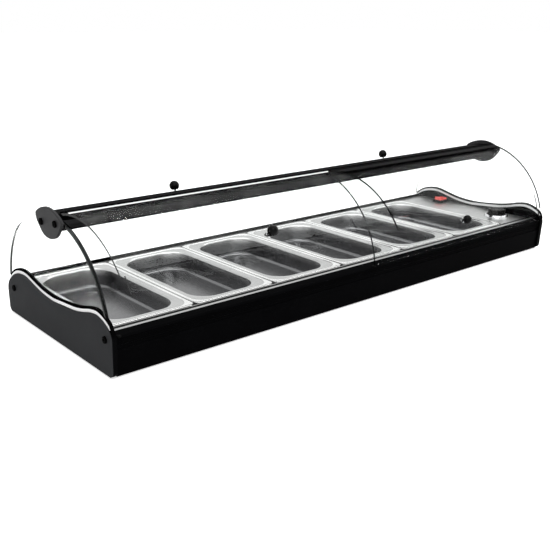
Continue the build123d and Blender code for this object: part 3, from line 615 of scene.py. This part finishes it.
# which finish each CAD node wears
nodeFinish = {
    "charcoalMoulding": ["end_panel_left", "end_panel_right"],
    "glossFascia": ["front_fascia", "rear_fascia"],
    "sealRubber": ["glass_seal_left", "glass_seal_right"],
    "bracketMoulding": ["beam_bracket_left", "beam_bracket_right"],
    "ballGloss": [f"{row}_knob_{side}" for row in ("front", "rear") for side in ("left", "right")],
    "dialSatin": ["thermostat_knob"],
    "switchMoulding": ["rocker_body", "thermostat_body"],
    "footRubber": ["rubber_feet", "screen_buffers"],
    "glandNylon": ["cable_gland"],
    "terminalNylon": ["terminal_block"],
    "deckSteel": ["steel_deck", "pan_bars"],
    "brushedSteel": ["water_well", "element_clips"],
    "panSteel": [f"pan_{i}" for i in range(1, 7)],
    "brightPlate": ["end_trim_left", "end_trim_right", "knob_bezel"]
    + [f"{row}_knob_screw_{side}" for row in ("front", "rear") for side in ("left", "right")],
    "beamAnodised": ["beam"],
    "blackAnodised": ["front_hinge_right", "rear_hinge_left", "rear_hinge_right"],
    # the raised hinge strip wears the painted-shade copy of black anodised
    "shadedRaisedStrip": ["front_hinge_left"],
    "blackScrew": ["bracket_screws", "end_panel_screws"],
    "turnedSteel": ["thermostat_spindle"],
    "trayZinc": ["base_tray"],
    "elementSheath": ["heating_element"],
    "copperBulb": ["sensing_bulb"],
    "sideGlass": ["side_screen_left", "side_screen_right"],
    "paneGlass": ["front_screen_left", "front_screen_right"],
    "rearGlass": ["rear_screen_left", "rear_screen_right"],
    "redRocker": ["rocker_key"],
}


def dressNodes(table):
    for finish, names in table.items():
        for name in names:
            slots = nodes[name].data.materials
            for i in range(len(slots)):
                slots[i] = finishes[finish]


dressNodes(nodeFinish)
print("CAD nodes dressed")

# New pieces. Each is a grid of points: loops of points, each loop closed on itself.
def makePiece(name, loops, finish, body, stoodFor, sharpFrom=35.0):
    """Quads join neighbouring loops point by point, and one flat face closes each end."""
    count, around = loops.shape[:2]
    row = np.arange(count - 1)[:, None] * around
    here = np.arange(around)[None, :]
    after = (here + 1) % around
    quads = np.stack([row + here, row + after, row + around + after, row + around + here], -1).reshape(-1, 4)
    first = np.arange(around)
    last = first + (count - 1) * around
    points = loops.reshape(-1, 3)
    a, b, c, d = (points[quads[:, i]] for i in range(4))
    volume = np.einsum("ij,ij->i", np.cross(b - a, c - a) + np.cross(c - a, d - a), a + c).sum()
    faces = quads.tolist() + [first[::-1].tolist(), last.tolist()]
    if volume < 0:
        faces = [face[::-1] for face in faces]
    mesh = bpy.data.meshes.new(name)
    mesh.from_pydata(points.tolist(), [], faces)
    mesh.polygons.foreach_set("use_smooth", np.ones(len(mesh.polygons), dtype=bool))
    mesh.set_sharp_from_angle(angle=radians(sharpFrom))
    mesh.materials.append(finishes[finish])
    piece = bpy.data.objects.new(name, mesh)
    bpy.context.scene.collection.objects.link(piece)
    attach(piece, body)
    if stoodFor:
        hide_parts(stoodFor)
    return piece


# Points on the arc through each start, middle and end of a chain, joined end to end.
def arcChain(points, perArc=12):
    runs = []
    for start, middle, end in zip(points[0:-2:2], points[1:-1:2], points[2::2]):
        a, b, c = (np.array(v) for v in (start, middle, end))
        ab, ac = b - a, c - a
        cross = 2 * (ab[0] * ac[1] - ab[1] * ac[0])
        toCentre = np.array([ac[1] * ab @ ab - ab[1] * ac @ ac, ab[0] * ac @ ac - ac[0] * ab @ ab]) / cross
        centre = a + toCentre
        low, mid, high = (np.arctan2(*(v - centre)[::-1]) for v in (a, b, c))
        mid = low + (mid - low + np.pi) % (2 * np.pi) - np.pi
        high = mid + (high - mid + np.pi) % (2 * np.pi) - np.pi
        angle = np.linspace(low, high, perArc + 1)[:-1]
        runs.append(centre + np.linalg.norm(toCentre) * np.stack([np.cos(angle), np.sin(angle)], -1))
    return np.concatenate(runs + [np.array([points[-1]])])


# The end panel's top edge from the rear to the front, in metres: every second point is the
# middle of an arc.
panelTop = [
    (0.2065, 0.044), (0.2018, 0.060), (0.1880, 0.0725), (0.1660, 0.0862), (0.1400, 0.0928),
    (0.1210, 0.0939), (0.1020, 0.0914), (0.0780, 0.0860), (0.0540, 0.0810), (0.0050, 0.0770),
    (-0.0480, 0.0800), (-0.0840, 0.0844), (-0.1180, 0.0915), (-0.1380, 0.0967), (-0.1580, 0.0992),
    (-0.1800, 0.0946), (-0.1980, 0.0858), (-0.2046, 0.0770), (-0.2065, 0.0640),
]

# Bright strip along the panel's top edge, and the narrow black bead that the glass stands on.
edging = {
    "sides": {"left": -1, "right": 1},
    "middleX": 0.5890,
    "trimHalf": 0.0031,
    "trimRise": 0.0055,
    "trimEnds": 0.0840,
    "trimRearEnds": 0.0640,
    "beadHalf": 0.0029,
    "beadRise": 0.0042,
    "beadEnds": 0.0700,
    "round": 0.0005,
}


def makeStrip(name, path, halfWidth, low, high, finish, stoodFor, middleX, corner):
    """A rounded rectangle stands across a path that runs in the YZ plane, without turning."""
    angle = np.linspace(0, 2 * np.pi, 17)[:-1] + np.pi / 16
    across = np.clip(np.cos(angle) * 1.6, -1, 1)
    up = np.clip(np.sin(angle) * 1.6, -1, 1)
    middle, half = (low + high) / 2, (high - low) / 2
    x = middleX + across * halfWidth
    z = path[:, None, 1] + middle + up[None, :] * half
    y = np.repeat(path[:, None, 0], len(angle), 1)
    soft = corner * (np.abs(across * up) > 0.99)
    x = x - np.sign(across) * soft
    return makePiece(name, np.stack([np.broadcast_to(x, y.shape), y, z], -1), finish, "base", stoodFor)


def makeEdging(e):
    path = arcChain(panelTop)
    for side, sign in e["sides"].items():
        trimPath = path[path[:, 1] > np.where(path[:, 0] < 0, e["trimEnds"], e["trimRearEnds"])]
        makeStrip(f"edge_strip_{side}", trimPath, e["trimHalf"], -0.0005, e["trimRise"], "satinPlate",
                  f"end_trim_{side}", sign * e["middleX"], e["round"])
        beadPath = path[path[:, 1] > e["beadEnds"]]
        top = e["trimRise"] + e["beadRise"]
        makeStrip(f"glass_bead_{side}", beadPath, e["beadHalf"], e["trimRise"], top, "sealRubber",
                  f"glass_seal_{side}", sign * e["middleX"], e["round"])


makeEdging(edging)
print("edge strips and beads made")

# Food pans: a rounded rectangle that grows and shrinks along a profile, from under the pan,
# up its outside, over the rim's roll and down its inside.
pan = {
    "firstX": -0.495,
    "pitch": 0.178,
    "count": 6,
    "y": -0.0015,
    "mouthHalf": (0.069, 0.1435),
    "mouthCorner": 0.045,
    "rimCorner": 0.012,
    "rimGrow": 0.019,
    "wall": 0.001,
    "rimTop": 0.0760,
    "flatTop": 0.0751,
    "rimUnder": 0.0737,
    "shoulder": 0.0035,
    "rollStart": 0.0115,
    "floor": 0.037,
    "floorRadius": 0.007,
    "taper": 0.07,
}


def roundedLoops(halfSizes, corners, heights, perCorner=14):
    """Rounded rectangles, one for each row of sizes: four quarter circles joined by straights."""
    quarter = np.linspace(0, np.pi / 2, perCorner)
    turn = (quarter[None, :] + np.arange(4)[:, None] * np.pi / 2).reshape(-1)
    signX = np.repeat([1, -1, -1, 1], perCorner)
    signY = np.repeat([1, 1, -1, -1], perCorner)
    x = signX * (halfSizes[:, :1] - corners[:, None]) + corners[:, None] * np.cos(turn)
    y = signY * (halfSizes[:, 1:] - corners[:, None]) + corners[:, None] * np.sin(turn)
    return np.stack([x, y, np.broadcast_to(heights[:, None], x.shape)], -1)


def panProfile(p):
    wallTop = p["flatTop"] - p["shoulder"]
    wallFoot = p["floor"] + p["floorRadius"]
    lean = (wallTop - wallFoot) * p["taper"]
    bend = np.linspace(0, np.pi / 2, 7)
    foot = np.stack([-lean - p["floorRadius"] * (1 - np.cos(bend)), wallFoot - p["floorRadius"] * np.sin(bend)], -1)
    shoulder = np.stack([p["shoulder"] * (1 - np.sin(bend)), wallTop + p["shoulder"] * (1 - np.cos(bend))], -1)[::-1]
    shoulder = np.stack([p["shoulder"] * (1 - np.cos(bend)), wallTop + p["shoulder"] * np.sin(bend)], -1)[::-1]
    across = np.linspace(0, np.pi, 11)
    middle = (p["rollStart"] + p["rimGrow"]) / 2
    half = (p["rimGrow"] - p["rollStart"]) / 2
    roll = np.stack([middle + half * np.cos(across), p["flatTop"] + (p["rimTop"] - p["flatTop"]) * np.sin(across)], -1)
    inside = np.concatenate([roll, shoulder, foot, [(-0.035, p["floor"] - 0.0002), (-0.062, p["floor"] - 0.0004)]])
    outFoot = foot[::-1] + (p["wall"], -p["wall"])
    outside = np.concatenate([
        [(-0.062, p["floor"] - 0.0014)],
        outFoot,
        [(p["wall"], wallTop), (p["shoulder"], p["rimUnder"]), (p["rimGrow"], p["rimUnder"])],
    ])
    return np.concatenate([outside, inside])


def makePans(p):
    profile = panProfile(p)
    grow, heights = profile[:, 0], profile[:, 1]
    share = np.clip(grow / p["rimGrow"], 0, 1)
    corners = p["mouthCorner"] + share * (p["rimCorner"] - p["mouthCorner"]) + np.minimum(grow, 0)
    corners = np.maximum(corners, 0.006)
    halfSizes = np.array(p["mouthHalf"])[None, :] + grow[:, None]
    loops = roundedLoops(halfSizes, corners, heights)
    for i in range(p["count"]):
        place = np.array([p["firstX"] + i * p["pitch"], p["y"], 0])
        makePiece(f"food_pan_shell_{i + 1}", loops + place, "panSteel", f"food_pan_{i + 1}", f"pan_{i + 1}")


makePans(pan)
print("pans made")

# Side screens: a domed sheet of glass that stands on its bead, with softened edges.
sideGlass = {
    "sides": {"left": -1, "right": 1},
    "inner": 0.5865,
    "outer": 0.5915,
    "bevel": 0.0006,
    "frontCentre": (-0.0196, 0.0588),
    "frontRadius": 0.1755,
    "rearCentre": (0.0267, 0.0524),
    "rearRadius": 0.1710,
    "rearTurn": (0.0, 86.0),
    "frontTurn": (90.0, 180.0),
    "above": 0.0084,
}


# Every point of a closed outline moved in by a distance, along the mean of its two sides' normals.
def insetOutline(outline, distance):
    ahead = np.roll(outline, -1, 0) - outline
    side = np.stack([-ahead[:, 1], ahead[:, 0]], -1)
    side /= np.linalg.norm(side, axis=1)[:, None]
    mean = side + np.roll(side, 1, 0)
    mean /= np.maximum(np.linalg.norm(mean, axis=1), 0.4)[:, None]
    return outline + mean * distance


def makeSheet(name, outline, sign, inner, outer, bevel, finish, stoodFor):
    """An outline in the YZ plane carried from one face to the other, drawn in at both edges."""
    bend = np.linspace(0, np.pi / 2, 4)
    insets = np.concatenate([bevel * (1 - np.sin(bend)), bevel * (1 - np.cos(bend))])
    places = np.concatenate([inner + bevel * (1 - np.cos(bend)), outer - bevel * (1 - np.sin(bend))])
    loops = []
    for inset, x in zip(insets, places):
        flat = insetOutline(outline, inset)
        loops.append(np.column_stack([np.full(len(flat), sign * x), flat]))
    return makePiece(name, np.array(loops), finish, "base", stoodFor)


def sideGlassOutline(g):
    top = arcChain(panelTop) + (0, g["above"])
    rear = np.radians(np.linspace(*g["rearTurn"], 60))
    rearArc = np.array(g["rearCentre"]) + g["rearRadius"] * np.stack([np.cos(rear), np.sin(rear)], -1)
    front = np.radians(np.linspace(*g["frontTurn"], 60))
    frontArc = np.array(g["frontCentre"]) + g["frontRadius"] * np.stack([np.cos(front), np.sin(front)], -1)
    rearArc = rearArc[rearArc[:, 1] > np.interp(rearArc[:, 0], top[::-1, 0], top[::-1, 1]) + 0.001]
    frontArc = frontArc[frontArc[:, 1] > np.interp(frontArc[:, 0], top[::-1, 0], top[::-1, 1]) + 0.001]
    inside = top[(top[:, 0] < rearArc[0, 0] - 0.001) & (top[:, 0] > frontArc[-1, 0] + 0.001)]
    return np.concatenate([rearArc, frontArc, inside[::-1]])


def makeSideGlass(g):
    outline = sideGlassOutline(g)
    for side, sign in g["sides"].items():
        makeSheet(f"side_glass_{side}", outline, sign, g["inner"], g["outer"], g["bevel"],
                  "sideGlass", f"side_screen_{side}")


makeSideGlass(sideGlass)
print("side screens made")

# Painted highlight: a bright bar along the mouth of the raised screen's clamp, where the sheet goes in.
clampHighlight = {
    "hinge": (-0.0468, 0.2393),
    "turn": 98.57,
    "radius": 0.1825,
    "raised": 26.5,
    "along": (0.0203, 0.0228),
    "outward": (-0.0006, 0.0016),
    "spanX": (-0.5830, -0.0070),
}


def makeClampHighlight(m):
    """A flat bright bar on the sheet's outer face, a painted highlight: points by length along the arc and height over
    it.
    """
    centre = np.array(m["hinge"]) - m["radius"] * np.array([np.cos(np.radians(m["turn"])), np.sin(np.radians(m["turn"]))])
    along = np.array([m["along"][0], m["along"][1], m["along"][1], m["along"][0]])
    outward = np.array([m["outward"][0], m["outward"][0], m["outward"][1], m["outward"][1]])
    angle = np.radians(m["turn"]) + along / m["radius"]
    yz = centre + (m["radius"] + outward)[:, None] * np.stack([np.cos(angle), np.sin(angle)], -1)
    swing = np.radians(m["raised"])
    offset = yz - m["hinge"]
    raised = np.stack([
        offset[:, 0] * np.cos(swing) + offset[:, 1] * np.sin(swing),
        offset[:, 1] * np.cos(swing) - offset[:, 0] * np.sin(swing),
    ], -1) + m["hinge"]
    loops = np.array([np.column_stack([np.full(4, x), raised]) for x in np.linspace(*m["spanX"], 12)])
    # the painted highlight, in the white satin finish
    makePiece("clamp_highlight_line", loops, "satinPlate", "front_left_screen", "")


makeClampHighlight(clampHighlight)
print("clamp line made")

print("scene finished")
